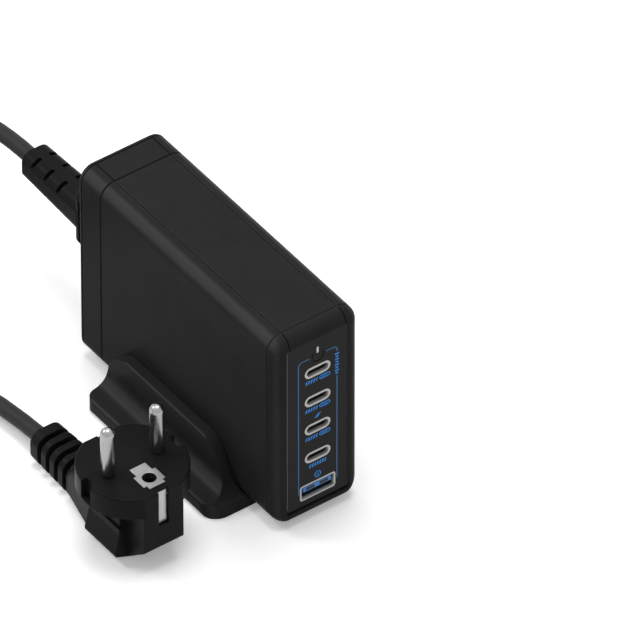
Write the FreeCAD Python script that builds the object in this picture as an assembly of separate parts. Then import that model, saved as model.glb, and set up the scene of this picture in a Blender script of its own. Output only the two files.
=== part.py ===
import FreeCAD, Part
import math
import os

# A desk charger with four USB-C ports and one USB-A port, in its stand, with its mains lead and plug.
# Millimetres. +Z is up, the ports face -Y, and the origin is on the floor under the body's middle.

Vector = FreeCAD.Vector

# Body
body_length = 106.0
body_width = 33.0
body_height = 76.5
edge_radius = 5.6
front_radius = 4.5
lower_front_radius = 2.0
rear_radius = 1.5
wall = 2.0
bezel_depth = 4.6
cap_depth = 12.1
seam_gap = 0.4
seam_round = 0.3
groove_depth = 0.5
cap_line = 2.0
fit = 0.1

# Port panel
panel_width = 23.8
panel_gap = 0.15
panel_recess = 0.2
panel_corner = 0.8
flange = 1.2
lip_height = 3.0
slot_height = 1.0
ring_radius = 2.5
ring_stroke = 0.6
ring_drop = 11.8
ring_opening = 60.0
engraving = 0.3

# Ports
usb_c_count = 4
usb_c_pitch = 11.83
usb_c_drop = 17.9
usb_c_shell = (8.94, 3.26)
usb_c_rim = 0.5
usb_c_tongue = (6.7, 0.7)
usb_a_height = 9.4
usb_a_shell = (13.1, 5.5)
usb_a_corner = 0.7
usb_a_rim = 0.35
usb_a_tongue = (11.1, 1.9)
usb_a_tongue_lift = 0.9
sheet = 0.3
rim_depth = 0.5
port_depth = 10.5
port_base = 3.0
tongue_setback = 1.2
light_bar = (0.8, 2.5)
light_drop = 9.5
led = (1.6, 0.7, 0.8)

# Boards and heat spreader
sleeve_wall = 1.0
board = 1.6
board_x = 9.6
board_tail = 3.5
spreader = 1.0
spreader_front_room = 1.9
spreader_rear_room = 10.0
spreader_edge_room = 3.15

# Parts on the boards, and the room left around them
transformer_depth = 21.0
transformer_front_room = 4.5
transformer_rear_room = 3.5
transformer_top_room = 5.9
transformer_gap = 7.0
core_leg_share = 0.26
winding_gap = 0.3
winding_bulge = 3.0
inductor_depth = 20.0
inductor_height = 20.0
inductor_room = 4.4
inductor_inset = 2.5
inductor_wall = 3.0
can_length = 20.5
can_count = 3
can_gap = 1.5
can_low_room = 3.4
can_top_room = 2.2
can_rear_room = 3.2
small_can_radius = 4.0
small_can_length = 14.0
small_can_count = 6
small_can_front_room = 9.9
small_can_low_room = 5.4
small_can_top_room = 6.9
choke_radius = 9.0
choke_bore = 4.5
choke_depth = 9.0
choke_room = 2.4
choke_rear_room = 1.5
filter_capacitor = (17.0, 13.0, 13.0)
filter_rear_room = 2.0
filter_top_room = 4.4
rectifier = (15.0, 10.0, 3.6)
rectifier_drop = 11.9
fuse_radius = 2.5
fuse_length = 14.0
fuse_drop = 5.9
buck = (8.0, 5.0, 8.0)
buck_x = -4.0
chip = (6.0, 1.0, 5.0)

# Mains inlet and connector
lead_drop = 0.25
socket = (9.2, 16.0)
socket_corner = 4.4
socket_depth = 12.0
socket_play = 0.25
inlet_wall = 2.4
inlet_back = 4.0
pin_radius = 1.18
pin_pitch = 8.6
pin_reach = 8.5
pin_tail = 3.0
contact_wall = 0.35
contact_play = 0.04
wire_radius = 0.8
wire_bend = 4.0
head = (12.0, 22.4)
head_length = 17.4
head_corner = 3.0
head_round = 2.0
head_stand_off = 0.3
head_groove = (1.2, 17.0, 0.8)
head_groove_back = 3.4
relief_start = 12.2
relief_end = 10.8
relief_corner = 3.6
relief_length = 29.1
relief_slot = 1.5
relief_pitch = 7.15
relief_first = 9.1
relief_slots = 3
relief_bridges = (3.2, 5.8)
relief_core = 3.6

# Lead: its tube, its coil and the tie around the coil
lead_radius = 2.8
coil_at = (-62.0, 135.0)
coil_radius = 32.5
coil_width = 17.4
coil_height = 11.6
coil_round = 2.6
coil_lift = 0.8
tie_angle = 330.0
tie_width = 6.0
tie = 0.5
tie_play = 0.25
bend_share = 0.45
socket_end_route = [(0.0, 122.0, 40.5), (-6.5, 142.0, 35.3), (-21.0, 160.0, 24.5), (-42.0, 171.5, 13.5),
                    (-62.0, 173.0, 9.4)]
plug_end_route = [(-53.2, 58.0, 4.0), (-71.0, 86.0, 3.2), (-91.5, 114.5, 3.7)]

# Mains plug, lying on its back with its pins up
plug_at = (-53.2, -27.3)
plug_height = 32.0
disc_radius = 18.2
disc_depth = 8.0
disc_flat = 16.8
disc_round = 0.6
waist = 10.3
wing = 12.0
wing_height = 3.1
wing_edge = 4.4
wing_top = 11.8
foot = 4.5
rib_proud = 0.7
rib_low = 12.2
rib_high = 15.0
rib_length = 14.0
rib_at = -1.0
wing_front = -7.2
wing_rear = 9.4
wing_round = 0.8
waist_round = 3.0
nose_width = 15.0
nose_low = 9.2
nose_foot = -7.0
nose_rise = 1.3
nose_round = 1.2
neck_end = 26.0
neck_corner = 2.0
plug_lead_height = 6.8
plug_relief_start = 13.4
plug_relief_end = 12.2
plug_relief_corner = 4.2
plug_relief_end_y = 47.2
plug_groove = 2.2
plug_groove_pitch = 4.7
plug_groove_first = 2.0
plug_groove_count = 4
plug_pin_radius = 2.4
plug_pin_pitch = 19.0
plug_pin_length = 19.0
plug_pin_root = 9.0
plug_pin_root_radius = 1.9
plug_pin_neck = 0.2
guide_notch = (2.4, 5.0, 7.0)
earth_plate = (6.0, 10.9)
earth_plate_at = -8.0
earth_wing = (8.4, 5.6)
earth_bore_at = -9.05
earth_bore_radius = 2.35
earth_bore_depth = 14.0
earth_sheet = 0.8
clip_width = 3.2
clip_length = 13.7
clip_slot_play = 0.35
clip_recess = 1.0
clip_bridge_depth = 3.0

# Stand
stand_floor = 2.5
stand_front = -36.9
stand_rear = 31.5
stand_toe = 30.0
stand_toe_height = 5.6
stand_toe_round = 1.4
stand_rim = 21.0
stand_rim_width = 4.4
stand_rim_round = 0.9
stand_waist_x = 20.9
stand_waist_z = 6.4
stand_flare = 6.0
stand_front_corner = 6.5
stand_far_corner = 11.0
stand_rear_corner = 4.0
stand_front_top = -23.4
stand_front_knee = (-31.8, 4.9)
stand_front_round = 9.0
stand_rear_round = 11.0
stand_splay = 4.4
stand_end_height = 4.0
stand_end_round = 0.8
cradle_corner = 5.2
cradle_fit = 0.15

# A length that counts as nothing
TOUCH = 1e-4

# Places worked out from the sizes above
body_front = -body_length / 2
body_rear = body_length / 2
half_width = body_width / 2
body_bottom = stand_floor
body_top = body_bottom + body_height
body_middle = (body_bottom + body_top) / 2
seam_x = half_width - edge_radius
front_seam = body_front + bezel_depth
rear_seam = body_rear - cap_depth
panel_bottom = body_bottom + lip_height + slot_height
panel_top = body_top - front_radius
panel_face = body_front + panel_recess
flange_face = body_front + wall
flange_back = flange_face + flange
inner_rear = body_rear - wall
sleeve_half_width = half_width - wall - fit - sleeve_wall
sleeve_low = body_bottom + wall + fit + sleeve_wall
sleeve_high = body_top - wall - fit - sleeve_wall
port_board_front = body_front + port_depth
port_board_rear = port_board_front + board
lead_z = body_middle - lead_drop
spreader_x = -sleeve_half_width + fit + spreader
main_board_rear = inner_rear - board_tail
head_front = body_rear + head_stand_off
head_rear = head_front + head_length
relief_front = head_rear - head_round
relief_rear = head_rear + relief_length
socket_bottom = body_rear - socket_depth
inlet_rear = inner_rear
inlet_front = socket_bottom - inlet_back
wire_y = inlet_front - pin_tail - wire_bend
small_can_y = port_board_rear + small_can_front_room + small_can_radius
rectifier_z = sleeve_high - rectifier_drop
cans_low = sleeve_low + can_low_room
cans_high = rectifier_z - rectifier[2] / 2 - can_top_room
can_radius = ((cans_high - cans_low + can_gap) / can_count - can_gap) / 2
can_y = wire_y - wire_radius - can_rear_room - can_radius
inductor_low = sleeve_low + inductor_room
inductor_high = inductor_low + inductor_height
transformer_y = (small_can_y + small_can_radius + transformer_front_room,
                 can_y - can_radius - transformer_rear_room)
transformer_z = (inductor_high + transformer_gap, sleeve_high - transformer_top_room - winding_bulge)
core_leg = core_leg_share * (transformer_y[1] - transformer_y[0])
inductor_y = (transformer_y[0] + inductor_inset, transformer_y[1] - inductor_inset)
plug_face = plug_height
disc_low = plug_height - disc_depth

parts = {}


def block(x, y, z):
    """A box between two X values, two Y values and two Z values."""
    return Part.makeBox(x[1] - x[0], y[1] - y[0], z[1] - z[0], Vector(x[0], y[0], z[0]))


def around(middle, size):
    """The two values that lie half a size either side of a middle."""
    return (middle - size / 2, middle + size / 2)


def in_xz(u, v):
    return Vector(u, 0, v)


def in_yz(u, v):
    return Vector(0, u, v)


def in_xy(u, v):
    return Vector(u, v, 0)


def rounded_wire(corners, place):
    """A closed outline through corners given as (u, v, radius), each rounded to its own radius."""
    stretches = []
    for before, corner, after in zip(corners[-1:] + corners[:-1], corners, corners[1:] + corners[:1]):
        at = Vector(corner[0], corner[1], 0)
        back = (Vector(before[0], before[1], 0) - at).normalize()
        onward = (Vector(after[0], after[1], 0) - at).normalize()
        if corner[2] < TOUCH:
            stretches.append([at])
            continue
        half = back.getAngle(onward) / 2
        reach = corner[2] / math.tan(half)
        depth = corner[2] / math.sin(half) - corner[2]
        stretches.append([at + back * reach, at + (back + onward).normalize() * depth, at + onward * reach])
    edges = []
    for stretch, following in zip(stretches, stretches[1:] + stretches[:1]):
        if len(stretch) == 3:
            edges.append(Part.Arc(*[place(p.x, p.y) for p in stretch]).toShape())
        if (stretch[-1] - following[0]).Length > TOUCH:
            start, end = stretch[-1], following[0]
            edges.append(Part.makeLine(place(start.x, start.y), place(end.x, end.y)))
    return Part.Wire(edges)


def rectangle(width, height, radius):
    """The corners of a rounded rectangle about the origin, for rounded_wire."""
    signs = [(1, 1), (-1, 1), (-1, -1), (1, -1)]
    return [(i * width / 2, j * height / 2, radius) for i, j in signs]


def swept(corners, place, low, high):
    """A rounded outline carried in a straight line from the vector low to the vector high."""
    face = Part.Face(rounded_wire(corners, place))
    face.translate(low)
    return face.extrude(high - low)


def bar(width, height, radius, y, x=0.0, z=0.0):
    """A rounded rectangular bar along Y between two Y values."""
    return swept(rectangle(width, height, radius), in_xz, Vector(x, y[0], z), Vector(x, y[1], z))


def tapered_bar(first, last, y, x, z):
    """A rounded bar along Y from one (width, height, radius, rise) section to another."""
    wires = []
    for section, at in zip((first, last), y):
        wire = rounded_wire(rectangle(*section[:3]), in_xz)
        wire.translate(Vector(x, at, z + section[3]))
        wires.append(wire)
    return Part.makeLoft(wires, True)


def tube(outer, inner, start, along, length):
    """A round tube from start."""
    return Part.makeCylinder(outer, length, start, along).cut(Part.makeCylinder(inner, length, start, along))


def edges_at_y(shape, y):
    """The edges that lie whole in one plane across Y."""
    return [e for e in shape.Edges if abs(e.BoundBox.YMin - y) < TOUCH and abs(e.BoundBox.YMax - y) < TOUCH]


def edges_at_z(shape, z):
    """The edges that lie whole in one level plane."""
    return [e for e in shape.Edges if abs(e.BoundBox.ZMin - z) < TOUCH and abs(e.BoundBox.ZMax - z) < TOUCH]


def rounded_front(plain, y, inset):
    """The bar with its front edge rounded: tight along the bottom, wider up the sides and over the top."""
    document = FreeCAD.newDocument("front")
    base = document.addObject("Part::Feature", "plain")
    base.Shape = plain
    rounded = document.addObject("Part::Fillet", "rounded")
    rounded.Base = base
    low = plain.BoundBox.ZMin
    rows = []
    for number, edge in enumerate(plain.Edges, 1):
        if edge.BoundBox.YMax - y > TOUCH:
            continue
        ends = [vertex.Point.z - low < TOUCH for vertex in (edge.firstVertex(), edge.lastVertex())]
        radii = [(lower_front_radius if on_bottom else front_radius) - inset for on_bottom in ends]
        rows.append((number, *radii))
    rounded.Edges = rows
    document.recompute()
    return rounded.Shape


def body_form(inset):
    """The body's rounded outer form, drawn in by an inset on every side."""
    y = (body_front + inset, body_rear - inset)
    plain = bar(body_width - 2 * inset, body_height - 2 * inset, edge_radius - inset, y, z=body_middle)
    form = rounded_front(plain, y[0], inset)
    return form.makeFillet(rear_radius - inset, edges_at_y(form, y[1]))


def cavity(gap, y):
    """The hollow inside the body's wall, drawn in by a gap, between two Y values."""
    inset = wall + gap
    return bar(body_width - 2 * inset, body_height - 2 * inset, edge_radius - inset, y, z=body_middle)


def softened(piece, form):
    """The piece with the sharp edges that the seams leave on its outer face rounded."""
    seam_ys = [y + side * seam_gap / 2 for y in (front_seam, rear_seam) for side in (-1, 1)]
    seam_xs = [seam_x + side * seam_gap / 2 for side in (-1, 1)]
    sharp = []
    for edge in piece.Edges:
        middle = edge.valueAt((edge.FirstParameter + edge.LastParameter) / 2)
        across = edge.BoundBox.YLength < TOUCH and min(abs(middle.y - y) for y in seam_ys) < TOUCH
        along = edge.BoundBox.XLength < TOUCH and min(abs(abs(middle.x) - x) for x in seam_xs) < TOUCH
        if (across or along) and not form.isInside(middle, TOUCH, False):
            sharp.append(edge)
    return piece.makeFillet(seam_round, sharp)


def make_covers(form, shell):
    """The two side covers and the bands that close the top and the bottom between them."""
    half_gap = seam_gap / 2
    y = (front_seam + half_gap, rear_seam - half_gap)
    z = (body_bottom - wall, body_top + wall)
    side = (seam_x + half_gap, half_width + wall)
    band = (half_gap - seam_x, seam_x - half_gap)
    regions = {
        "left_side_cover": block((-side[1], -side[0]), y, z),
        "right_side_cover": block(side, y, z),
        "top_band": block(band, y, (body_middle, z[1])),
        "bottom_band": block(band, y, (z[0], body_middle)),
    }
    for name, region in regions.items():
        parts[name] = softened(shell.common(region), form)


def seam_grooves(skin, y, z):
    """Shallow lines that carry the long seams on over an end piece."""
    lines = [skin.common(block(around(side * seam_x, seam_gap), y, z)) for side in (-1, 1)]
    return lines[0].fuse(lines[1])


def make_ends(form, shell, skin):
    """The front bezel around the port panel, and the rear cap."""
    x = around(0, body_width + 2 * wall)
    z = (body_bottom - wall, body_top + wall)
    front_end = front_seam - seam_gap / 2
    bezel = softened(shell.common(block(x, (body_front - wall, front_end), z)), form)
    opening_low = panel_bottom - slot_height
    opening = (opening_low, panel_top + panel_gap)
    opening_height = opening[1] - opening[0]
    bezel = bezel.cut(bar(panel_width + 2 * panel_gap, opening_height, panel_corner + panel_gap,
                          (body_front - wall, flange_face + wall), z=sum(opening) / 2))
    parts["front_bezel"] = bezel.cut(seam_grooves(skin, (body_front, front_seam), (panel_top, body_top)))

    rear_start = rear_seam + seam_gap / 2
    cap = softened(shell.common(block(x, (rear_start, body_rear + wall), z)), form)
    cap = cap.cut(bar(socket[0] + 2 * socket_play, socket[1] + 2 * socket_play, socket_corner + socket_play,
                      (inner_rear - wall, body_rear + wall), z=lead_z))
    line_y = around(body_rear - cap_line, seam_gap)
    cap = cap.cut(skin.common(block(x, line_y, z)))
    for z_range in ((body_middle, body_top), (body_bottom, body_middle)):
        cap = cap.cut(seam_grooves(skin, (rear_seam, body_rear - cap_line), z_range))
    parts["rear_cap"] = cap


def port_heights():
    """The middles of the USB-C ports, from the top one down."""
    return [body_top - usb_c_drop - n * usb_c_pitch for n in range(usb_c_count)]


def make_panel():
    """The port panel: a plate in the bezel's opening on a flange that fills the body behind it."""
    height = panel_top - panel_bottom
    panel = bar(panel_width, height, panel_corner, (panel_face, flange_face), z=panel_bottom + height / 2)
    panel = panel.fuse(cavity(fit, (flange_face, flange_back)))
    ports = [(usb_c_shell, usb_c_shell[1] / 2, usb_c_rim, z) for z in port_heights()]
    ports.append((usb_a_shell, usb_a_corner, usb_a_rim, body_bottom + usb_a_height))
    for size, corner, rim, z in ports:
        hole = bar(size[0] + 2 * fit, size[1] + 2 * fit, corner + fit, (panel_face, flange_back), z=z)
        seat_y = (panel_face, panel_face + rim_depth)
        seat = bar(size[0] + 2 * rim, size[1] + 2 * rim, corner + rim, seat_y, z=z)
        panel = panel.cut(hole).cut(seat)
    light_z = body_top - light_drop
    panel = panel.cut(bar(*light_bar, light_bar[0] / 2 - TOUCH, (panel_face, flange_back), z=light_z))
    ring_z = body_top - ring_drop
    start = Vector(0, panel_face, ring_z)
    ring = tube(ring_radius, ring_radius - ring_stroke, start, Vector(0, 1, 0), engraving)
    half_opening = math.tan(math.radians(ring_opening / 2)) * ring_radius
    gap_y = (panel_face, panel_face + engraving)
    gap = block((-half_opening, half_opening), gap_y, (ring_z, ring_z + 2 * ring_radius))
    parts["front_panel"] = panel.cut(ring.cut(gap))


def make_port(shell_name, insert_name, size, corner, rim, tongue, lift, z):
    """One port: a sheet-metal shell with a rim on the panel, and the moulded insert with its tongue."""
    mouth = panel_face
    y = (mouth, port_board_front)
    inner = (size[0] - 2 * sheet, size[1] - 2 * sheet, corner - sheet)
    shell = bar(*size, corner, y, z=z)
    shell = shell.fuse(bar(size[0] + 2 * rim, size[1] + 2 * rim, corner + rim, (mouth, mouth + rim_depth), z=z))
    parts[shell_name] = shell.cut(bar(*inner, y, z=z))
    insert = bar(*inner, (port_board_front - port_base, port_board_front), z=z)
    tongue_y = (mouth + tongue_setback, port_board_front - port_base)
    parts[insert_name] = insert.fuse(bar(*tongue, tongue[1] / 4, tongue_y, z=z + lift))


def make_ports():
    """The four USB-C ports and the USB-A port under them."""
    for number, z in enumerate(port_heights(), 1):
        make_port(f"usb_c_shell_{number}", f"usb_c_insert_{number}", usb_c_shell, usb_c_shell[1] / 2, usb_c_rim,
                  usb_c_tongue, 0.0, z)
    make_port("usb_a_shell", "usb_a_insert", usb_a_shell, usb_a_corner, usb_a_rim, usb_a_tongue,
              usb_a_tongue_lift, body_bottom + usb_a_height)


def make_indicator():
    """The clear bar that shows the power light, and the light behind it on the port board."""
    z = body_top - light_drop
    led_front = port_board_front - led[1]
    parts["indicator_light_pipe"] = bar(*light_bar, light_bar[0] / 2 - TOUCH, (panel_face, led_front), z=z)
    parts["indicator_led"] = block(around(0, led[0]), (led_front, port_board_front), around(z, led[2]))


def make_sleeve():
    """The insulating sleeve inside the covers, which carries the boards."""
    y = (flange_back, inner_rear)
    inner = cavity(fit + sleeve_wall, y)
    parts["inner_sleeve"] = cavity(fit, y).cut(inner)


def make_boards():
    """The port board behind the panel and the main board along the right side."""
    z = (sleeve_low + fit, sleeve_high - fit)
    half = sleeve_half_width - fit
    corner = edge_radius - wall - sleeve_wall - fit
    parts["port_board"] = bar(2 * half, z[1] - z[0], corner, (port_board_front, port_board_rear), z=sum(z) / 2)
    parts["main_board"] = block((board_x, board_x + board), (port_board_rear, main_board_rear), z)


def on_board(size, at):
    """A box with its back on the main board: size is along Y, out from the board and along Z."""
    return block((board_x - size[1], board_x), around(at[0], size[0]), around(at[1], size[2]))


def standing_can(radius, length, at):
    """A round can standing out from the main board."""
    return Part.makeCylinder(radius, length, Vector(board_x - length, at[0], at[1]), Vector(1, 0, 0))


def make_transformer():
    """A ferrite core with a middle leg, and the winding around that leg."""
    x = (board_x - transformer_depth, board_x)
    y, z = transformer_y, transformer_z
    side = core_leg / 2
    window_x = (x[0] + side, x[1] - side)
    window = block(window_x, (y[0] + side, y[1] - side), z)
    leg_y = around(sum(y) / 2, core_leg)
    parts["transformer_core"] = block(x, y, z).cut(window.cut(block(window_x, leg_y, z)))
    wound_x = (window_x[0] + winding_gap, window_x[1] - winding_gap)
    wound_y = (y[0] + side + winding_gap, y[1] - side - winding_gap)
    winding = block(wound_x, wound_y, (z[0] - winding_bulge, z[1] + winding_bulge))
    parts["transformer_winding"] = winding.cut(block(wound_x, leg_y, z))
    parts["thermal_pad"] = block((spreader_x, x[0]), y, z)


def make_board_parts():
    """The other parts that stand on the main board."""
    middle = Vector(board_x - inductor_depth, sum(inductor_y) / 2, (inductor_low + inductor_high) / 2)
    core = block((middle.x, board_x), inductor_y, (inductor_low, inductor_high))
    radius = min(inductor_y[1] - inductor_y[0], inductor_height) / 2 - inductor_wall
    bore = Part.makeCylinder(radius, inductor_depth - core_leg, middle, Vector(1, 0, 0))
    parts["boost_inductor"] = core.cut(bore)
    for n in range(can_count):
        z = cans_low + can_radius + n * (2 * can_radius + can_gap)
        parts[f"bulk_capacitor_{n + 1}"] = standing_can(can_radius, can_length, (can_y, z))
    low = sleeve_low + small_can_low_room + small_can_radius
    pitch = (sleeve_high - small_can_top_room - small_can_radius - low) / (small_can_count - 1)
    cans = []
    for n in range(small_can_count):
        cans.append(standing_can(small_can_radius, small_can_length, (small_can_y, low + n * pitch)))
    parts["output_capacitors"] = Part.makeCompound(cans)
    choke_y = main_board_rear - choke_rear_room - choke_radius
    start = Vector(board_x - choke_depth, choke_y, sleeve_low + choke_room + choke_radius)
    parts["filter_choke"] = tube(choke_radius, choke_bore, start, Vector(1, 0, 0), choke_depth)
    filter_at = (main_board_rear - filter_rear_room - filter_capacitor[0] / 2,
                 sleeve_high - filter_top_room - filter_capacitor[2] / 2)
    parts["filter_capacitor"] = on_board(filter_capacitor, filter_at)
    parts["bridge_rectifier"] = on_board(rectifier, (can_y, rectifier_z))
    start = Vector(board_x - fuse_radius, can_y - fuse_length / 2, sleeve_high - fuse_drop)
    parts["fuse"] = Part.makeCylinder(fuse_radius, fuse_length, start, Vector(0, 1, 0))
    chip_z = (inductor_high + transformer_z[0]) / 2
    parts["power_switches"] = Part.makeCompound([on_board(chip, (y, chip_z)) for y in inductor_y])


def make_port_board_parts():
    """One step-down inductor behind each USB-C port."""
    for number, z in enumerate(port_heights(), 1):
        y = (port_board_rear, port_board_rear + buck[1])
        parts[f"step_down_inductor_{number}"] = block(around(buck_x, buck[0]), y, around(z, buck[2]))


def make_spreader():
    """The aluminium sheet along the left side of the sleeve, on the transformer's pad."""
    y = (port_board_rear + spreader_front_room, inlet_front - spreader_rear_room)
    z = (sleeve_low + spreader_edge_room, sleeve_high - spreader_edge_room)
    parts["heat_spreader"] = block((spreader_x - spreader, spreader_x), y, z)


def make_inlet():
    """The mains inlet behind the rear cap, its two pins and the wires from them to the main board."""
    width = socket[0] + 2 * (socket_play + inlet_wall)
    height = socket[1] + 2 * (socket_play + inlet_wall)
    inlet = bar(width, height, socket_corner, (inlet_front, inlet_rear), z=lead_z)
    inlet = inlet.cut(bar(socket[0] + 2 * socket_play, socket[1] + 2 * socket_play, socket_corner + socket_play,
                          (socket_bottom, inlet_rear), z=lead_z))
    pins, wires = [], []
    tail = inlet_front - pin_tail
    for side in (-1, 1):
        z = lead_z + side * pin_pitch / 2
        pin_length = socket_bottom + pin_reach - tail
        pin = Part.makeCylinder(pin_radius, pin_length, Vector(0, tail, z), Vector(0, 1, 0))
        inlet = inlet.cut(pin)
        pins.append(pin)
        turn = wire_bend * (1 - math.sqrt(0.5))
        bent = Vector(wire_bend, wire_y, z)
        bend = Part.Arc(Vector(0, tail, z), Vector(turn, bent.y + turn, z), bent)
        straight = Part.makeLine(bent, Vector(board_x, bent.y, z))
        section = Part.Wire(Part.makeCircle(wire_radius, Vector(0, tail, z), Vector(0, 1, 0)))
        wires.append(Part.Wire([bend.toShape(), straight]).makePipeShell([section], True, True))
    parts["inlet_housing"] = inlet
    parts["inlet_pins"] = Part.makeCompound(pins)
    parts["inlet_wires"] = Part.makeCompound(wires)


def make_connector():
    """The lead's moulded connector: a nose in the inlet, a head behind it and a slotted strain relief."""
    shape = bar(*head, head_corner, (head_front, head_rear), z=lead_z)
    shape = shape.makeFillet(head_round, edges_at_y(shape, head_rear))
    nose_y = (socket_bottom + socket_play, head_front)
    shape = shape.fuse(bar(*socket, socket_corner, nose_y, z=lead_z))
    start = (relief_start, relief_start, relief_corner, 0.0)
    end = (relief_end, relief_end, relief_corner, 0.0)
    shape = shape.fuse(tapered_bar(start, end, (relief_front, relief_rear), 0.0, lead_z))
    core = Part.makeCylinder(relief_core, relief_length, Vector(0, head_rear, lead_z), Vector(0, 1, 0))
    x = around(0, relief_start)
    z = around(lead_z, relief_start)
    for n in range(relief_slots):
        y = around(head_rear + relief_first + n * relief_pitch, relief_slot)
        ring = block(x, y, z).cut(core)
        ring = ring.cut(block(around(0, relief_bridges[0]), y, z))
        shape = shape.cut(ring.cut(block(x, y, around(lead_z, relief_bridges[1]))))
    groove_y = around(head_rear - head_groove_back, head_groove[0])
    for x in ((head[0] / 2 - head_groove[2], head[0]), (-head[0], head_groove[2] - head[0] / 2)):
        shape = shape.cut(block(x, groove_y, around(lead_z, head_groove[1])))
    contacts = []
    bore = pin_radius + contact_play
    for z in around(lead_z, pin_pitch):
        start = Vector(0, nose_y[0], z)
        length = nose_y[1] - nose_y[0]
        shape = shape.cut(Part.makeCylinder(bore + contact_wall, length, start, Vector(0, 1, 0)))
        contacts.append(tube(bore + contact_wall, bore, start, Vector(0, 1, 0), length))
    parts["connector_overmould"] = shape
    parts["connector_contacts"] = Part.makeCompound(contacts)


def route_tube(points):
    """A tube along straight runs joined by tangent arcs. Its volume is compared with its section and length."""
    points = [Vector(*p) for p in points]
    edges, start = [], points[0]
    for before, at, after in zip(points, points[1:], points[2:]):
        back, onward = before - at, after - at
        turn = math.pi - back.getAngle(onward)
        reach = bend_share * min(back.Length, onward.Length)
        radius = reach / math.tan(turn / 2)
        back.normalize()
        onward.normalize()
        depth = radius / math.cos(turn / 2) - radius
        first, last = at + back * reach, at + onward * reach
        edges.append(Part.makeLine(start, first))
        edges.append(Part.Arc(first, at + (back + onward).normalize() * depth, last).toShape())
        start = last
        print(f"lead turns by {math.degrees(turn):.0f} degrees on a radius of {radius:.0f} mm")
    edges.append(Part.makeLine(start, points[-1]))
    path = Part.Wire(edges)
    section = Part.Wire(Part.makeCircle(lead_radius, points[0], points[1] - points[0]))
    solid = path.makePipeShell([section], True, True)
    share = solid.Volume / (math.pi * lead_radius ** 2 * path.Length)
    print(f"lead tube {path.Length:.0f} mm long, volume {share:.3f} of its section times its length")
    return solid


def make_lead():
    """The lead: a tube from each end, and the coil that the rest of it is wound into, with its tie."""
    section = rounded_wire(rectangle(coil_width, coil_height, coil_round), in_xz)
    section.translate(Vector(coil_radius, 0, 0))
    coil = Part.Face(section).revolve(Vector(0, 0, 0), Vector(0, 0, 1), 360)
    middle = Vector(coil_at[0], coil_at[1], coil_lift + coil_height / 2)
    coil.translate(middle)
    parts["lead_coil"] = coil
    connector_end = (0.0, relief_rear, lead_z)
    plug_end = (plug_at[0], plug_at[1] + plug_relief_end_y, plug_lead_height)
    parts["lead_at_charger"] = route_tube([connector_end] + socket_end_route).cut(coil)
    parts["lead_at_plug"] = route_tube([plug_end] + plug_end_route).cut(coil).cut(parts["plug_body"])
    hole = (coil_width + 2 * tie_play, coil_height + 2 * tie_play, coil_round)
    strap = bar(hole[0] + 2 * tie, hole[1] + 2 * tie, coil_round + tie, around(0, tie_width))
    strap = strap.cut(bar(*hole, around(0, tie_width)))
    strap.translate(Vector(coil_radius, 0, 0))
    strap.rotate(Vector(0, 0, 0), Vector(0, 0, 1), tie_angle)
    strap.translate(middle)
    parts["coil_tie"] = strap


def plug_form():
    """The moulded plug, about its own middle: a disc, a waist with wings, a nose and a neck."""
    disc = Part.makeCylinder(disc_radius, disc_depth, Vector(0, 0, disc_low))
    disc = disc.common(block(around(0, 2 * disc_radius), around(0, 2 * disc_flat), (disc_low, plug_face)))
    disc = disc.makeFillet(disc_round, edges_at_z(disc, plug_face))
    half = [(foot, 0, 0), (wing, wing_height, wing_round), (wing, wing_edge, wing_round),
            (waist, wing_top, waist_round), (waist, disc_low, 0)]
    outline = half + [(-x, z, r) for x, z, r in reversed(half)]
    shape = disc.fuse(swept(outline, in_xz, Vector(0, wing_front, 0), Vector(0, wing_rear, 0)))
    nose = [(-disc_flat, disc_low, 0), (-disc_flat, nose_low, nose_round), (nose_foot, nose_rise, nose_round),
            (0, nose_rise, 0), (0, disc_low, 0)]
    shape = shape.fuse(swept(nose, in_yz, Vector(-nose_width / 2, 0, 0), Vector(nose_width / 2, 0, 0)))
    for side in (-1, 1):
        rib = bar(2 * rib_proud, rib_high - rib_low, rib_proud / 2, around(rib_at, rib_length),
                  side * waist, (rib_low + rib_high) / 2)
        shape = shape.fuse(rib)
    start = (2 * waist, disc_low, neck_corner, disc_low / 2)
    end = (plug_relief_start, 2 * plug_lead_height, plug_relief_corner, plug_lead_height)
    shape = shape.fuse(tapered_bar(start, end, (wing_rear - rib_proud, neck_end), 0.0, 0.0))
    low = (plug_relief_start, plug_relief_start, plug_relief_corner, 0.0)
    high = (plug_relief_end, plug_relief_end, plug_relief_corner, 0.0)
    relief = tapered_bar(low, high, (neck_end - rib_proud, plug_relief_end_y), 0.0, plug_lead_height)
    core_start = Vector(0, neck_end, plug_lead_height)
    core = Part.makeCylinder(relief_core, plug_relief_end_y - neck_end, core_start, Vector(0, 1, 0))
    for n in range(plug_groove_count):
        y = around(neck_end + plug_groove_first + n * plug_groove_pitch, plug_groove)
        ring = block(around(0, 2 * plug_relief_start), y, around(plug_lead_height, 2 * plug_relief_start))
        relief = relief.cut(ring)
    return shape.fuse([relief, core]).removeSplitter()


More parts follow.
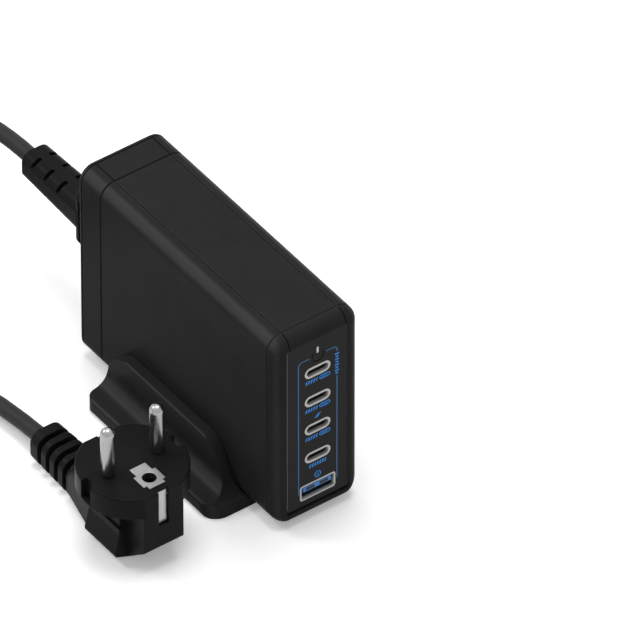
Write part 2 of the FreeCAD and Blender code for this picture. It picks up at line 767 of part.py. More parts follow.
def earth_clip():
    """The earth contact: a winged plate in the face, a strip down each flat, and the bridge under the face."""
    plate_z = (plug_face - earth_sheet, plug_face)
    plate_y = around(earth_plate_at, earth_plate[1])
    clip = block(around(0, earth_plate[0]), plate_y, plate_z)
    clip = clip.fuse(block(around(0, earth_wing[0]), around(earth_bore_at, earth_wing[1]), plate_z))
    bridge_z = (plug_face - clip_bridge_depth, plug_face - clip_bridge_depth + earth_sheet)
    reach = disc_flat - clip_recess
    clip = clip.fuse(block(around(0, earth_plate[0]), (-reach, reach), bridge_z))
    under_y = around(earth_plate_at, earth_plate[1] / 2)
    clip = clip.fuse(block(around(0, earth_plate[0]), under_y, (bridge_z[0], plate_z[0])))
    for y in ((-reach, earth_sheet - reach), (reach - earth_sheet, reach)):
        clip = clip.fuse(block(around(0, clip_width), y, (plug_face - clip_length, plug_face - disc_round)))
    bore_z = plug_face - earth_bore_depth
    return clip.cut(Part.makeCylinder(earth_bore_radius, earth_bore_depth, Vector(0, earth_bore_at, bore_z)))


def make_plug():
    """The plug's moulding with its pins and its earth contact."""
    body = plug_form()
    slot_width = clip_width + 2 * clip_slot_play
    slot_z = (plug_face - clip_length - clip_slot_play, plug_face)
    for y in ((-disc_flat, clip_recess - disc_flat), (disc_flat - clip_recess, disc_flat)):
        body = body.cut(block(around(0, slot_width), y, slot_z))
    for side in (-1, 1):
        x = sorted((side * disc_radius, side * (disc_radius - guide_notch[0])))
        body = body.cut(block(x, around(0, guide_notch[1]), (plug_face - guide_notch[2], plug_face)))
    body = body.cut(Part.makeCylinder(earth_bore_radius, earth_bore_depth,
                                      Vector(0, earth_bore_at, plug_face - earth_bore_depth)))
    clip = earth_clip()
    body = body.cut(clip)
    place = Vector(plug_at[0], plug_at[1], 0)
    for number, x in enumerate(around(0, plug_pin_pitch), 1):
        neck_z = plug_face + plug_pin_neck
        tip_z = plug_face + plug_pin_length - plug_pin_radius
        root = Vector(x, 0, plug_face - plug_pin_root)
        pin = Part.makeCylinder(plug_pin_root_radius, neck_z - root.z, root)
        pin = pin.fuse(Part.makeCylinder(plug_pin_radius, tip_z - neck_z, Vector(x, 0, neck_z)))
        pin = pin.fuse(Part.makeSphere(plug_pin_radius, Vector(x, 0, tip_z)))
        pin = pin.removeSplitter()
        body = body.cut(pin)
        pin.translate(place)
        parts[f"plug_pin_{number}"] = pin
    body.translate(place)
    clip.translate(place)
    parts["plug_body"] = body
    parts["plug_earth_clip"] = clip


def stand_outline(splay):
    """The cradle seen from its side, with its front end carried forward above the floor by a splay."""
    knee_y, knee_z = stand_front_knee
    return [(stand_front, 0, 0), (stand_front, stand_end_height, stand_end_round),
            (knee_y - splay, knee_z, stand_flare), (stand_front_top - splay, stand_rim, stand_front_round),
            (stand_rear, stand_rim, stand_rear_round), (stand_rear, 0, 0)]


def make_stand():
    """The cradle: side outlines that splay forward and a flared cross-section, with the body's slot."""
    inner = rounded_wire(stand_outline(0.0), in_yz)
    outer = rounded_wire(stand_outline(stand_splay), in_yz)
    stand = swept(stand_outline(0.0), in_yz, Vector(-half_width, 0, 0), Vector(half_width, 0, 0))
    for side in (-1, 1):
        near = inner.translated(Vector(side * half_width, 0, 0))
        far = outer.translated(Vector(side * stand_toe, 0, 0))
        stand = stand.fuse(Part.makeLoft([near, far], True, True))
    rim_x = half_width + stand_rim_width
    half = [(stand_toe, 0, stand_toe_round), (stand_toe, stand_toe_height, stand_toe_round),
            (stand_waist_x, stand_waist_z, stand_flare), (rim_x, stand_rim, stand_rim_round)]
    section = half + [(-x, z, r) for x, z, r in reversed(half)]
    plan = [(stand_toe, stand_rear, stand_rear_corner), (-stand_toe, stand_rear, stand_rear_corner),
            (-stand_toe, stand_front, stand_front_corner), (stand_toe, stand_front, stand_far_corner)]
    stand = stand.common(swept(section, in_xz, Vector(0, stand_front, 0), Vector(0, stand_rear, 0)))
    stand = stand.common(swept(plan, in_xy, Vector(0, 0, 0), Vector(0, 0, stand_rim)))
    slot_width = body_width + 2 * cradle_fit
    slot = bar(slot_width, body_height, cradle_corner, (stand_front, stand_rear), z=body_middle)
    parts["stand"] = stand.cut(slot)


def main():
    """Make every piece and write one file for each."""
    form = body_form(0.0)
    shell = form.cut(cavity(0.0, (body_front + wall, inner_rear)))
    skin = form.cut(body_form(groove_depth))
    make_covers(form, shell)
    make_ends(form, shell, skin)
    make_panel()
    make_ports()
    make_indicator()
    make_sleeve()
    make_boards()
    make_transformer()
    make_board_parts()
    make_port_board_parts()
    make_spreader()
    make_inlet()
    make_connector()
    make_plug()
    make_lead()
    make_stand()
    os.makedirs("parts", exist_ok=True)
    for name, shape in parts.items():
        print(f"{name}: {len(shape.Solids)} solid, {shape.Volume:.1f} cubic mm, valid {shape.isValid()}")
        shape.exportStep(f"parts/{name}.step")


main()
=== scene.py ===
"""A tall black desk charger in its cradle, with its lead and mains plug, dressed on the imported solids."""

import math

import bmesh
import bpy
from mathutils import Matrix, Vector


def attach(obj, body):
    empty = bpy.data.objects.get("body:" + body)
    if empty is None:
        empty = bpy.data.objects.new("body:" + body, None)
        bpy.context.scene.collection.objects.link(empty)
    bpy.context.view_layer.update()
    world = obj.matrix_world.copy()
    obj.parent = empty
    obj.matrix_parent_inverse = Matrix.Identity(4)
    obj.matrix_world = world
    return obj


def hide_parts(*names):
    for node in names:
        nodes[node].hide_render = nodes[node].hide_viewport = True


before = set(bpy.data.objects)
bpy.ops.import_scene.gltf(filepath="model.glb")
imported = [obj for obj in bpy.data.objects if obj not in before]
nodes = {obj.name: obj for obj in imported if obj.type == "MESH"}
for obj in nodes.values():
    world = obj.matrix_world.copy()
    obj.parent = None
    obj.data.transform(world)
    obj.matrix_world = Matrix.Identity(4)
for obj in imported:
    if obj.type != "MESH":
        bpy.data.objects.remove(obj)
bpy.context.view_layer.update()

MM = 0.001


# Camera

VIEW_AZIMUTH = math.radians(-36.1)
VIEW_ELEVATION = math.radians(41.6)
VIEW_TARGET = Vector((28.4, -15.1, 40.0)) * MM
VIEW_WIDTH = 201.9 * MM
LENS = 1000.0
SENSOR = 36.0
VIEW_END = 50.0


def make_camera():
    """A long lens at the photograph's viewing angle."""
    data = bpy.data.cameras.new("camera")
    data.lens = LENS
    data.sensor_width = SENSOR
    data.clip_end = VIEW_END
    back = Vector((math.sin(VIEW_AZIMUTH) * math.cos(VIEW_ELEVATION),
                   -math.cos(VIEW_AZIMUTH) * math.cos(VIEW_ELEVATION), math.sin(VIEW_ELEVATION)))
    camera = bpy.data.objects.new("camera", data)
    camera.location = VIEW_TARGET + back * VIEW_WIDTH * LENS / SENSOR
    camera.rotation_euler = back.to_track_quat("Z", "Y").to_euler()
    bpy.context.scene.collection.objects.link(camera)
    bpy.context.scene.camera = camera


# Materials

NOISE_CELL = 0.5
NOISE_RANGE = (0.3, 0.7)
PATCH_DETAIL = 6.0
BEVEL_SAMPLES = 6
SATIN_METAL = 0.1
GLOW_ROUGHNESS = 0.5
GLOW_PATCH = 0.0006
GLOW_DIM = 0.8


def new_material(name):
    """An empty node material with its principled shader."""
    made = bpy.data.materials.new(name)
    made.use_nodes = True
    return made, made.node_tree, made.node_tree.nodes["Principled BSDF"]


def add(tree, kind, **values):
    """One node with the values of its named inputs."""
    node = tree.nodes.new(kind)
    for name, value in values.items():
        node.inputs[name.replace("_", " ")].default_value = value
    return node


def noise(tree, size, detail=2.0):
    """A noise texture whose features are about size metres across."""
    place = tree.nodes.new("ShaderNodeTexCoord")
    texture = add(tree, "ShaderNodeTexNoise", Scale=NOISE_CELL / size, Detail=detail)
    tree.links.new(place.outputs["Object"], texture.inputs["Vector"])
    return texture.outputs["Fac"]


def spread(tree, value, low, high):
    """The noise's middle range, stretched from low to high."""
    ramp = add(tree, "ShaderNodeMapRange", From_Min=NOISE_RANGE[0], From_Max=NOISE_RANGE[1],
               To_Min=low, To_Max=high)
    tree.links.new(value, ramp.inputs["Value"])
    return ramp.outputs["Result"]


def shades(tree, value, dark, light):
    """A colour between dark and light, by the noise."""
    ramp = tree.nodes.new("ShaderNodeValToRGB")
    for stop, position, colour in zip(ramp.color_ramp.elements, NOISE_RANGE, (dark, light)):
        stop.position = position
        stop.color = (*colour, 1.0)
    tree.links.new(value, ramp.inputs["Fac"])
    return ramp.outputs["Color"]


def surface(name, dark, light, rough, grain, depth, metallic=0.0, specular=0.5, edge=0.0, patch=0.006):
    """A moulded or rolled surface: grain as bump, and colour and sheen that vary a little over patches."""
    made, tree, shader = new_material(name)
    shader.inputs["Metallic"].default_value = metallic
    shader.inputs["Specular IOR Level"].default_value = specular
    patches = noise(tree, patch, detail=PATCH_DETAIL)
    fine = noise(tree, grain)
    tree.links.new(shades(tree, patches, dark, light), shader.inputs["Base Color"])
    tree.links.new(spread(tree, patches, *rough), shader.inputs["Roughness"])
    bump = add(tree, "ShaderNodeBump", Strength=1.0, Distance=depth)
    tree.links.new(fine, bump.inputs["Height"])
    if edge:
        bevel = add(tree, "ShaderNodeBevel", Radius=edge)
        bevel.samples = BEVEL_SAMPLES
        tree.links.new(bevel.outputs["Normal"], bump.inputs["Normal"])
    tree.links.new(bump.outputs["Normal"], shader.inputs["Normal"])
    return made


def satin_and_shade_inside(made):
    """The port shells turn from plated at the rim to satin grey just inside the mouth, and dark further in as
    painted shade of the deep inside.
    """
    tree = made.node_tree
    shader = tree.nodes["Principled BSDF"]
    place = tree.nodes.new("ShaderNodeTexCoord")
    axes = tree.nodes.new("ShaderNodeSeparateXYZ")
    tree.links.new(place.outputs["Object"], axes.inputs["Vector"])
    depth = add(tree, "ShaderNodeMapRange", From_Min=SHELL_Y[0] * MM, From_Max=SHELL_Y[1] * MM)
    tree.links.new(axes.outputs["Y"], depth.inputs["Value"])
    ramp = tree.nodes.new("ShaderNodeValToRGB")
    stops = ramp.color_ramp.elements
    while len(stops) < len(SHELL_STOPS):
        stops.new(0.5)
    for stop, (position, value) in zip(stops, SHELL_STOPS):
        stop.position = position
        stop.color = (value, value, value, 1.0)
    tree.links.new(depth.outputs["Result"], ramp.inputs["Fac"])
    both = tree.nodes.new("ShaderNodeVectorMath")
    both.operation = "MULTIPLY"
    tree.links.new(shader.inputs["Base Color"].links[0].from_socket, both.inputs[0])
    tree.links.new(ramp.outputs["Color"], both.inputs[1])
    tree.links.new(both.outputs["Vector"], shader.inputs["Base Color"])
    plated = add(tree, "ShaderNodeMapRange", From_Min=SHELL_STOPS[0][0], From_Max=SHELL_STOPS[1][0],
                 To_Min=1.0, To_Max=SATIN_METAL)
    tree.links.new(depth.outputs["Result"], plated.inputs["Value"])
    tree.links.new(plated.outputs["Result"], shader.inputs["Metallic"])
    return made


def painted_edge_highlight(made, gain):
    """A painted highlight: the base colour is lighter than on flat faces where the normal turns between a
    side and the top, bottom or front, on the rounded edges and sloping faces, standing in for a lamp's sheen.
    """
    tree = made.node_tree
    shader = tree.nodes["Principled BSDF"]
    place = tree.nodes.new("ShaderNodeTexCoord")
    squares = tree.nodes.new("ShaderNodeVectorMath")
    squares.operation = "MULTIPLY"
    tree.links.new(place.outputs["Normal"], squares.inputs[0])
    tree.links.new(place.outputs["Normal"], squares.inputs[1])
    across = tree.nodes.new("ShaderNodeSeparateXYZ")
    tree.links.new(squares.outputs["Vector"], across.inputs["Vector"])
    along = tree.nodes.new("ShaderNodeVectorMath")
    along.operation = "DOT_PRODUCT"
    along.inputs[1].default_value = EDGE_SHARES
    tree.links.new(squares.outputs["Vector"], along.inputs[0])
    turn = tree.nodes.new("ShaderNodeMath")
    turn.operation = "MULTIPLY"
    tree.links.new(across.outputs["X"], turn.inputs[0])
    tree.links.new(along.outputs["Value"], turn.inputs[1])
    lift = add(tree, "ShaderNodeMapRange", From_Min=EDGE_TURN[0], From_Max=EDGE_TURN[1],
               To_Min=1.0, To_Max=1.0 + gain)
    lift.interpolation_type = "SMOOTHSTEP"
    tree.links.new(turn.outputs["Value"], lift.inputs["Value"])
    lifted = tree.nodes.new("ShaderNodeVectorMath")
    lifted.operation = "SCALE"
    tree.links.new(shader.inputs["Base Color"].links[0].from_socket, lifted.inputs[0])
    tree.links.new(lift.outputs["Result"], lifted.inputs["Scale"])
    tree.links.new(lifted.outputs["Vector"], shader.inputs["Base Color"])
    return made


def glow(name, colour, strength):
    """A lit diffuser: a soft even light, a little dimmer in places."""
    made, tree, shader = new_material(name)
    shader.inputs["Base Color"].default_value = (*colour, 1.0)
    shader.inputs["Roughness"].default_value = GLOW_ROUGHNESS
    shader.inputs["Emission Strength"].default_value = strength
    dim = [part * GLOW_DIM for part in colour]
    tree.links.new(shades(tree, noise(tree, GLOW_PATCH), dim, colour), shader.inputs["Emission Color"])
    return made


def grey(value, warm=0.0):
    """A neutral colour, a little warmer where warm is above 0."""
    return (value * (1 + warm), value, value * (1 - warm))


SPARK = 0.00022
# EDGE_SHARES and EDGE_TURN shape the mask of the painted edge highlight; the two gains below set how much
# lighter it paints the case and the stand.
EDGE_SHARES = (0.0, 0.6, 1.0)
EDGE_TURN = (0.07, 0.24)
CASE_EDGE_HIGHLIGHT = 0.9
STAND_EDGE_HIGHLIGHT = 1.0
# The port shells' depth ramp: satin grey just inside the mouth, then darker deeper in as painted shade.
SHELL_Y = (-52.8, -50.8)
SHELL_STOPS = [(0.05, 0.52), (0.08, 0.62), (0.42, 0.55), (0.70, 0.02)]
materials = {
    # The case and the stand carry a painted highlight on their rounded edges and slopes.
    "black_case": painted_edge_highlight(surface("black_case", grey(0.0190), grey(0.0220), (0.28, 0.34), SPARK,
                                         0.000006, specular=0.008, edge=0.0004), CASE_EDGE_HIGHLIGHT),
    "port_panel": surface("port_panel", grey(0.017), grey(0.020), (0.30, 0.36), SPARK, 0.000006,
                          specular=0.04, edge=0.0002),
    "stand_plastic": painted_edge_highlight(surface("stand_plastic", grey(0.0195), grey(0.0225), (0.26, 0.32), SPARK,
                                            0.000006, specular=0.014, edge=0.0006), STAND_EDGE_HIGHLIGHT),
    "black_vinyl": surface("black_vinyl", grey(0.008), grey(0.010), (0.34, 0.42), 0.0003, 0.00001,
                           specular=0.035, edge=0.0004),
    "lead_jacket": surface("lead_jacket", grey(0.027), grey(0.031), (0.42, 0.52), 0.0004, 0.00001,
                           specular=0.08),
    "tie_strap": surface("tie_strap", grey(0.010), grey(0.016), (0.5, 0.6), 0.0003, 0.00004, specular=0.3),
    # The port shells carry painted shade deeper inside.
    "port_metal": satin_and_shade_inside(surface("port_metal", grey(0.66, 0.02), grey(0.78, 0.02), (0.44, 0.54), 0.0004,
                                       0.000004, metallic=1.0, edge=0.0001)),
    "plated_pin": surface("plated_pin", grey(0.31, 0.01), grey(0.39, 0.01), (0.20, 0.28), 0.0012, 0.000004,
                          metallic=1.0, edge=0.0002),
    "earth_strip": surface("earth_strip", grey(0.36), grey(0.46), (0.30, 0.40), 0.0006, 0.000006,
                           metallic=1.0, edge=0.0002),
    "contact_brass": surface("contact_brass", (0.70, 0.50, 0.22), (0.80, 0.58, 0.27), (0.18, 0.28), 0.0005,
                             0.000004, metallic=1.0),
    "dark_insert": surface("dark_insert", grey(0.012), grey(0.018), (0.4, 0.5), 0.0003, 0.00001,
                           specular=0.3),
    "blue_insert": surface("blue_insert", (0.018, 0.16, 0.48), (0.024, 0.20, 0.58), (0.35, 0.45), 0.0003,
                           0.00001),
    "print_blue": surface("print_blue", (0.020, 0.20, 0.58), (0.026, 0.235, 0.68), (0.5, 0.6), 0.0002,
                          0.000004, specular=0.25),
    "print_line": surface("print_line", (0.028, 0.105, 0.24), (0.034, 0.125, 0.28), (0.5, 0.6), 0.0002,
                          0.000004, specular=0.25),
    # A lighter grey that paints the highlight along the bezel's left edge, on the left panel trim.
    "painted_highlight_trim": surface("painted_highlight_trim", grey(0.055), grey(0.070), (0.4, 0.5), SPARK, 0.000004, specular=0.25),
    "clear_light": glow("clear_light", (0.46, 0.465, 0.47), 0.10),
    "led": glow("led", (0.9, 0.95, 1.0), 1.0),
    "inner_plastic": surface("inner_plastic", grey(0.006), grey(0.009), (0.5, 0.6), 0.0004, 0.00002,
                             specular=0.25),
    "circuit_board": surface("circuit_board", (0.010, 0.075, 0.030), (0.014, 0.105, 0.042), (0.35, 0.5),
                             0.0010, 0.00002),
    "ferrite": surface("ferrite", grey(0.045), grey(0.065), (0.55, 0.7), 0.0006, 0.00004),
    "winding": surface("winding", (0.55, 0.38, 0.06), (0.68, 0.47, 0.08), (0.35, 0.45), 0.0012, 0.00006),
    "soft_pad": surface("soft_pad", (0.22, 0.30, 0.36), (0.27, 0.36, 0.43), (0.6, 0.75), 0.0008, 0.00006),
    "capacitor_can": surface("capacitor_can", (0.012, 0.016, 0.030), (0.017, 0.022, 0.042), (0.3, 0.4),
                             0.0010, 0.00001),
    "boxed_part": surface("boxed_part", grey(0.020), grey(0.030), (0.4, 0.55), 0.0005, 0.00002),
    "fuse_body": surface("fuse_body", (0.10, 0.035, 0.020), (0.14, 0.05, 0.03), (0.35, 0.5), 0.0006, 0.00001),
    "spreader_sheet": surface("spreader_sheet", grey(0.62), grey(0.72), (0.3, 0.42), 0.0015, 0.00001,
                              metallic=1.0),
    "copper_wire": surface("copper_wire", (0.70, 0.30, 0.16), (0.80, 0.36, 0.20), (0.22, 0.34), 0.0006,
                           0.00001, metallic=1.0),
}


def dress_nodes():
    """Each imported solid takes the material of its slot."""
    for node in nodes.values():
        for place in node.material_slots:
            place.material = materials[place.material.name.split(".")[0]]


# Print on the panel

PANEL_Y = -52.8
INK = 0.05
WELD = 0.001
PORT_HEIGHTS = [61.1, 49.27, 37.44, 25.61]
LINE = 0.42
LINE_X = 7.45
LINE_TOP = 67.3
LINE_CORNER = 1.5
LINE_ARM = 3.3
LINE_FOOT = 12.0
SCALE_Z = (55.4, 64.6)
SCALE_STEPS = 8
SCALE_HALVES = (0.55, 0.8)
SCALE_STROKE = 0.6
LABEL_DROP = 3.65
LABEL_BAR = (0.55, 1.4)
LABEL_PITCH = 0.99
LABEL_LEAN = 0.3
LABELS = [(5, True), (5, True), (5, True), (7, False)]
PILL = (4.3, 1.7)
PILL_STROKE = 0.34
PILL_BAR = (0.42, 0.75)
PILL_STEPS = (-1.0, -0.15, 0.7)
TWIN_Z = 42.15
TWIN_STEPS = (-0.35, 0.35)
TWIN_REACH = 0.75
TWIN_STROKE = 0.42
BOLT_Z = 17.35
BOLT_RING = 1.15
BOLT_STROKE = 0.34
BOLT_SIDES = 24
BOLT = [(0.28, 0.72), (-0.52, -0.1), (-0.06, -0.1), (-0.28, -0.72), (0.52, 0.1), (0.06, 0.1)]


def stroke(points, width, closed=False):
    """The faces of a line of that width along points of X and Z."""
    count = len(points)
    sides = []
    for n, point in enumerate(points):
        before = points[n - 1] if n or closed else point
        after = points[(n + 1) % count] if n < count - 1 or closed else point
        along = (Vector(after) - Vector(before)).normalized()
        across = Vector((-along.y, along.x)) * width / 2
        sides.append((Vector(point) + across, Vector(point) - across))
    pairs = zip(sides, sides[1:] + sides[:1]) if closed else zip(sides, sides[1:])
    return [(a[0], a[1], b[1], b[0]) for a, b in pairs]


def arc(middle, radius, start, end, steps=10):
    """Points along an arc between two angles in degrees."""
    angles = [math.radians(start + (end - start) * n / steps) for n in range(steps + 1)]
    return [(middle[0] + radius * math.cos(a), middle[1] + radius * math.sin(a)) for a in angles]


def leaning_bar(x, z, width, height):
    """One bar that leans a little to the right."""
    low, high = z - height / 2, z + height / 2
    lean = LABEL_LEAN / 2
    return [(x - width / 2 - lean, low), (x + width / 2 - lean, low),
            (x + width / 2 + lean, high), (x - width / 2 + lean, high)]


def frame_faces():
    """The thin frame around the ports, with room for the scale in its right line."""
    faces = []
    bottom = LINE_TOP - LINE_CORNER
    corner = arc((LINE_CORNER - LINE_X, bottom), LINE_CORNER, 180, 90)
    left = [(-LINE_X, LINE_FOOT)] + corner + [(-LINE_ARM, LINE_TOP)]
    faces += stroke(left, LINE)
    right = [(-x, z) for x, z in [(-LINE_X, SCALE_Z[1] + LINE)] + corner + [(-LINE_ARM, LINE_TOP)]]
    faces += stroke(right, LINE)
    faces += stroke([(LINE_X, LINE_FOOT), (LINE_X, SCALE_Z[0] - LINE)], LINE)
    return faces


def scale_faces():
    """The scale of short steps in the frame's right line."""
    faces = []
    for n in range(SCALE_STEPS):
        z = SCALE_Z[0] + (n + 0.5) * (SCALE_Z[1] - SCALE_Z[0]) / SCALE_STEPS
        half = SCALE_HALVES[n % 2]
        faces += stroke([(LINE_X - half, z), (LINE_X + half, z)], SCALE_STROKE)
    return faces


def label_faces(z, bars, with_pill):
    """A row of level bars, and a battery outline beside it where there is one."""
    width = bars * LABEL_PITCH + (PILL[0] + LABEL_PITCH / 2 if with_pill else 0)
    start = -width / 2 + LABEL_PITCH / 2
    faces = [leaning_bar(start + n * LABEL_PITCH, z, *LABEL_BAR) for n in range(bars)]
    if with_pill:
        middle = width / 2 - PILL[0] / 2
        radius = PILL[1] / 2 - PILL_STROKE / 2
        reach = PILL[0] / 2 - PILL[1] / 2
        ring = arc((middle + reach, z), radius, -90, 90) + arc((middle - reach, z), radius, 90, 270)
        faces += stroke(ring, PILL_STROKE, closed=True)
        faces += [leaning_bar(middle + step, z, *PILL_BAR) for step in PILL_STEPS]
    return faces


def print_layer(name, faces, material):
    """Flat marks on the panel's face, as a thin layer of ink."""
    form = bmesh.new()
    for face in faces:
        form.faces.new([form.verts.new((x * MM, PANEL_Y * MM, z * MM)) for x, z in face])
    bmesh.ops.remove_doubles(form, verts=form.verts, dist=WELD * MM)
    grown = bmesh.ops.extrude_face_region(form, geom=form.faces[:])
    raised = [part for part in grown["geom"] if isinstance(part, bmesh.types.BMVert)]
    bmesh.ops.translate(form, verts=raised, vec=(0, -INK * MM, 0))
    add_piece(name, form, material)


def make_print():
    """The blue marks of the panel: the frame's lines, and the brighter scale, labels and signs."""
    print_layer("panel_frame", frame_faces(), "print_line")
    faces = scale_faces()
    for height, (bars, with_pill) in zip(PORT_HEIGHTS, LABELS):
        faces += label_faces(height - LABEL_DROP, bars, with_pill)
    for step in TWIN_STEPS:
        line = [(step + reach, TWIN_Z + reach) for reach in (-TWIN_REACH, TWIN_REACH)]
        faces += stroke(line, TWIN_STROKE)
    ring = arc((0, BOLT_Z), BOLT_RING, 0, 360 - 360 / BOLT_SIDES, BOLT_SIDES - 1)
    faces += stroke(ring, BOLT_STROKE, closed=True)
    faces += [[(x, BOLT_Z + z) for x, z in BOLT]]
    print_layer("panel_print", faces, "print_blue")


def add_piece(name, form, material):
    """A finished mesh as a piece of the charger."""
    bmesh.ops.recalc_face_normals(form, faces=form.faces[:])
    mesh = bpy.data.meshes.new(name)
    form.to_mesh(mesh)
    form.free()
    piece = bpy.data.objects.new(name, mesh)
    bpy.context.scene.collection.objects.link(piece)
    mesh.materials.append(materials[material])
    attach(piece, "root")


# Seam gaskets and panel trims

SEAM_RINGS = [(-48.58, -48.22, 0.28), (40.72, 41.08, 0.5)]
SEAM_STRIPS = [(10.72, 11.08), (-11.08, -10.72)]
SEAM_SINK = 0.5
SEAM_FOOT = 2.1
CASE_HALF = 16.5
CASE_Z = (2.5, 79.0)
CASE_RADIUS = 5.6
# The left trim is a lighter grey as a painted highlight; the right one takes the panel's colour.
PANEL_TRIMS = [("panel_trim_left", (-12.04, -11.78), "painted_highlight_trim"),
               ("panel_trim_right", (11.78, 12.04), "port_panel")]
BEZEL_Y = -53.0
PANEL_TRIM_Z = (8.0, 74.0)


def case_loop(sink):
    """The case's outline at that depth under its skin, as X and Z points."""
    half = CASE_HALF - sink
    radius = CASE_RADIUS - sink
    low, high = CASE_Z[0] + sink, CASE_Z[1] - sink
    corners = [(half - radius, high - radius, 0), (radius - half, high - radius, 90),
               (radius - half, low + radius, 180), (half - radius, low + radius, 270)]
    return [point for x, z, turn in corners for point in arc((x, z), radius, turn, turn + 90)]


def make_gaskets():
    """Dark gaskets down in the seams around the case and along its top and bottom."""
    form = bmesh.new()
    for front, back, sink in SEAM_RINGS:
        outer, inner = case_loop(sink), case_loop(SEAM_FOOT)
        loops = [[form.verts.new((x * MM, y * MM, z * MM)) for x, z in loop]
                 for y, loop in ((front, inner), (front, outer), (back, outer), (back, inner))]
        for a, b in zip(loops, loops[1:] + loops[:1]):
            for n in range(len(a)):
                m = (n + 1) % len(a)
                form.faces.new((a[n], a[m], b[m], b[n]))
    along = (SEAM_RINGS[0][1], SEAM_RINGS[1][0])
    for left, right in SEAM_STRIPS:
        for low, high in ((CASE_Z[0] + SEAM_SINK, CASE_Z[0] + SEAM_FOOT),
                          (CASE_Z[1] - SEAM_FOOT, CASE_Z[1] - SEAM_SINK)):
            box_form(form, (left, along[0], low), (right, along[1], high))
    add_piece("seam_gaskets", form, "inner_plastic")


def make_trims():
    """The thin trims that stand between the port panel and its bezel: the left one is a lighter grey as a
    painted highlight along the bezel's edge, and the right one takes the panel's colour.
    """
    for name, x, material in PANEL_TRIMS:
        form = bmesh.new()
        box_form(form, (x[0], BEZEL_Y, PANEL_TRIM_Z[0]), (x[1], PANEL_Y, PANEL_TRIM_Z[1]))
        add_piece(name, form, material)


# Contacts in the ports

USB_C_CONTACTS = 12
USB_C_CONTACT_PITCH = 0.5
USB_C_CONTACT = (0.26, 4.6, 0.03)
USB_C_CONTACT_BACK = 0.35
USB_C_TONGUE_HALF = 0.35
TONGUE_FRONT = -51.6
USB_A_TONGUE = (11.85, 13.75)
USB_A_TONGUE_END = (5.4, -52.5)
USB_A_SLOTS = [-4.4, -1.55, 1.55, 4.4]
# Dark patches on the USB-A tongue's face: painted shade beside its lighter blue parts.
USB_A_SHADES = [(-4.3, -0.95), (0.95, 4.3)]
USB_A_SHADE_Z = (12.1, 13.4)
USB_A_SHADE_PROUD = 0.03
USB_A_CONTACT = (1.3, 5.5, 0.35)
USB_A_CONTACT_BACK = 0.5


def box_form(form, low, high):
    """A small box between two corners in millimetres."""
    middle = [(a + b) / 2 * MM for a, b in zip(low, high)]
    made = bmesh.ops.create_cube(form, size=1.0)
    bmesh.ops.scale(form, verts=made["verts"], vec=[(b - a) * MM for a, b in zip(low, high)])
    bmesh.ops.translate(form, verts=made["verts"], vec=middle)


def make_contacts():
    """The plated strips on both faces of each USB-C tongue, and the four springs under the USB-A tongue."""
    width, length, thick = USB_C_CONTACT
    front = TONGUE_FRONT + USB_C_CONTACT_BACK
    for number, height in enumerate(PORT_HEIGHTS, 1):
        form = bmesh.new()
        for n in range(USB_C_CONTACTS):
            x = (n - (USB_C_CONTACTS - 1) / 2) * USB_C_CONTACT_PITCH
            for face in (USB_C_TONGUE_HALF, -USB_C_TONGUE_HALF - thick):
                box_form(form, (x - width / 2, front, height + face),
                         (x + width / 2, front + length, height + face + thick))
        add_piece(f"usb_c_contacts_{number}", form, "contact_brass")
    width, length, thick = USB_A_CONTACT
    front = TONGUE_FRONT + USB_A_CONTACT_BACK
    form = bmesh.new()
    for x in USB_A_SLOTS:
        box_form(form, (x - width / 2, front, USB_A_TONGUE[0] - thick),
                 (x + width / 2, front + length, USB_A_TONGUE[0]))
    add_piece("usb_a_contacts", form, "contact_brass")


def make_tongue_end():
    """The blue front end of the USB-A tongue, with two dark patches on its face that are painted shade beside
    its lighter parts.
    """
    half, end = USB_A_TONGUE_END
    form = bmesh.new()
    box_form(form, (-half, end, USB_A_TONGUE[0]), (half, TONGUE_FRONT, USB_A_TONGUE[1]))
    add_piece("usb_a_tongue_end", form, "blue_insert")
    form = bmesh.new()
    for low, high in USB_A_SHADES:
        box_form(form, (low, end - USB_A_SHADE_PROUD, USB_A_SHADE_Z[0]), (high, end, USB_A_SHADE_Z[1]))
    add_piece("usb_a_tongue_shade", form, "dark_insert")


# Lead

LEAD_DIAMETER = 5.6
FROM_CHARGER = [(0, 99.8, 40.5), (0, 122, 40.5), (-6.5, 142, 35.3), (-21, 160, 24.5), (-42, 171.5, 13.5)]
TO_PLUG = [(-71, 86, 3.2), (-53.2, 58, 4.0), (-53.2, 19.9, 6.8)]
COIL_AT = (-62.0, 135.0)
COIL_START = 90.0
COIL_TURNS = 5.347
TURN_POINTS = 24
COIL_SLOTS = [(38.4, 9.4), (32.5, 9.4), (26.6, 9.4), (26.6, 3.7), (32.5, 3.7), (38.4, 3.7)]
COIL_MOVES = [(0.80, 1.0), (0.80, 1.0), (0.58, 0.80), (0.36, 0.58), (0.36, 0.58)]
LEAD_SIDES = 7
LEAD_STEPS = 6


def coil_point(turn):
    """The lead's place after some turns: inward on the upper layer, down, then outward on the lower one."""
    done = int(turn)
    radius, height = COIL_SLOTS[done]
    if done < len(COIL_MOVES):
        start, end = COIL_MOVES[done]
        share = min(max((turn - done - start) / (end - start), 0.0), 1.0)
        share = share * share * (3 - 2 * share)
        radius += share * (COIL_SLOTS[done + 1][0] - radius)
        height += share * (COIL_SLOTS[done + 1][1] - height)
    angle = math.radians(COIL_START) + 2 * math.pi * turn
    outside = radius / math.cos(math.pi / TURN_POINTS)
    return (COIL_AT[0] + outside * math.cos(angle), COIL_AT[1] + outside * math.sin(angle), height)


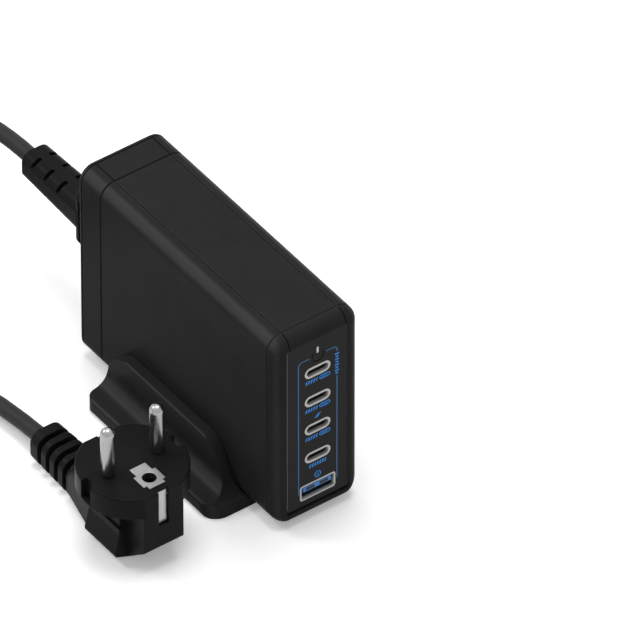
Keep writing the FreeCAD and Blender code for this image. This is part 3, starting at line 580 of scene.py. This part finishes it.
def make_lead():
    """The mains lead, from the charger's relief through its tied coil to the plug's relief."""
    turns = [n / TURN_POINTS for n in range(int(COIL_TURNS * TURN_POINTS) + 1)]
    route = FROM_CHARGER + [coil_point(turn) for turn in turns] + TO_PLUG
    curve = bpy.data.curves.new("mains_lead", "CURVE")
    curve.dimensions = "3D"
    curve.bevel_depth = LEAD_DIAMETER / 2 * MM
    curve.bevel_resolution = LEAD_SIDES
    curve.use_fill_caps = True
    spline = curve.splines.new("NURBS")
    spline.points.add(len(route) - 1)
    for point, place in zip(spline.points, route):
        point.co = (*(Vector(place) * MM), 1.0)
    spline.order_u = 3
    spline.use_endpoint_u = True
    spline.resolution_u = LEAD_STEPS
    lead = bpy.data.objects.new("mains_lead", curve)
    bpy.context.scene.collection.objects.link(lead)
    curve.materials.append(materials["lead_jacket"])
    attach(lead, "root")
    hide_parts("lead_at_charger", "lead_at_plug", "lead_coil")


# Stage

WORLD_LIGHT = 0.50
KEY_POWER = 8.7
RIM_POWER = 4.4
KEY_PLACE = (0.07, 0.08, 1.2)
KEY_SIZE = 0.62
RIM_PLACE = (-0.54, 0.68, 0.86)
RIM_SIZE = 0.35
LAMP_TARGET = Vector((0, 0, 0.03))
FLOOR_GLOW = 0.24
FLOOR_GREY = 0.9
FLOOR_RADIUS = 6.0
FLOOR_SIDES = 96
FLOOR_DROP = 0.05


def seen_directly(tree):
    """1 for camera, mirror and see-through rays, and 0 for the light that the rest receives."""
    path = tree.nodes.new("ShaderNodeLightPath")
    first = add(tree, "ShaderNodeMath")
    first.operation = "MAXIMUM"
    second = add(tree, "ShaderNodeMath")
    second.operation = "MAXIMUM"
    tree.links.new(path.outputs["Is Camera Ray"], first.inputs[0])
    tree.links.new(path.outputs["Is Glossy Ray"], first.inputs[1])
    tree.links.new(first.outputs[0], second.inputs[0])
    tree.links.new(path.outputs["Is Transmission Ray"], second.inputs[1])
    return second.outputs[0]


def make_world():
    """An even white room: white where it is seen, and softer as light."""
    world = bpy.data.worlds.new("room")
    world.use_nodes = True
    tree = world.node_tree
    ramp = add(tree, "ShaderNodeMapRange", To_Min=WORLD_LIGHT, To_Max=1.0)
    tree.links.new(seen_directly(tree), ramp.inputs["Value"])
    tree.nodes["Background"].inputs["Color"].default_value = (1.0, 1.0, 1.0, 1.0)
    tree.links.new(ramp.outputs["Result"], tree.nodes["Background"].inputs["Strength"])
    bpy.context.scene.world = world


def make_floor():
    """A wide pale floor that keeps the shadows and runs out to white."""
    mesh = bpy.data.meshes.new("floor")
    form = bmesh.new()
    bmesh.ops.create_circle(form, cap_ends=True, segments=FLOOR_SIDES, radius=FLOOR_RADIUS)
    bmesh.ops.translate(form, verts=form.verts, vec=(0, 0, -FLOOR_DROP * MM))
    form.to_mesh(mesh)
    form.free()
    floor = bpy.data.objects.new("floor", mesh)
    bpy.context.scene.collection.objects.link(floor)
    made, tree, shader = new_material("floor")
    shader.inputs["Base Color"].default_value = (*grey(FLOOR_GREY), 1.0)
    shader.inputs["Roughness"].default_value = 1.0
    shader.inputs["Specular IOR Level"].default_value = 0.0
    shader.inputs["Emission Color"].default_value = (1.0, 1.0, 1.0, 1.0)
    ramp = add(tree, "ShaderNodeMapRange", To_Max=FLOOR_GLOW)
    tree.links.new(seen_directly(tree), ramp.inputs["Value"])
    tree.links.new(ramp.outputs["Result"], shader.inputs["Emission Strength"])
    mesh.materials.append(made)


def make_lamp(name, place, size, power):
    """A square soft box that faces the charger."""
    data = bpy.data.lights.new(name, "AREA")
    data.size = size
    data.energy = power
    lamp = bpy.data.objects.new(name, data)
    lamp.location = place
    lamp.rotation_euler = (Vector(place) - LAMP_TARGET).to_track_quat("Z", "Y").to_euler()
    bpy.context.scene.collection.objects.link(lamp)


make_camera()
make_world()
make_floor()
make_lamp("key", KEY_PLACE, KEY_SIZE, KEY_POWER)
make_lamp("rim", RIM_PLACE, RIM_SIZE, RIM_POWER)
dress_nodes()
make_print()
make_gaskets()
make_trims()
make_contacts()
make_tongue_end()
make_lead()

bpy.context.scene.view_settings.view_transform = "Standard"
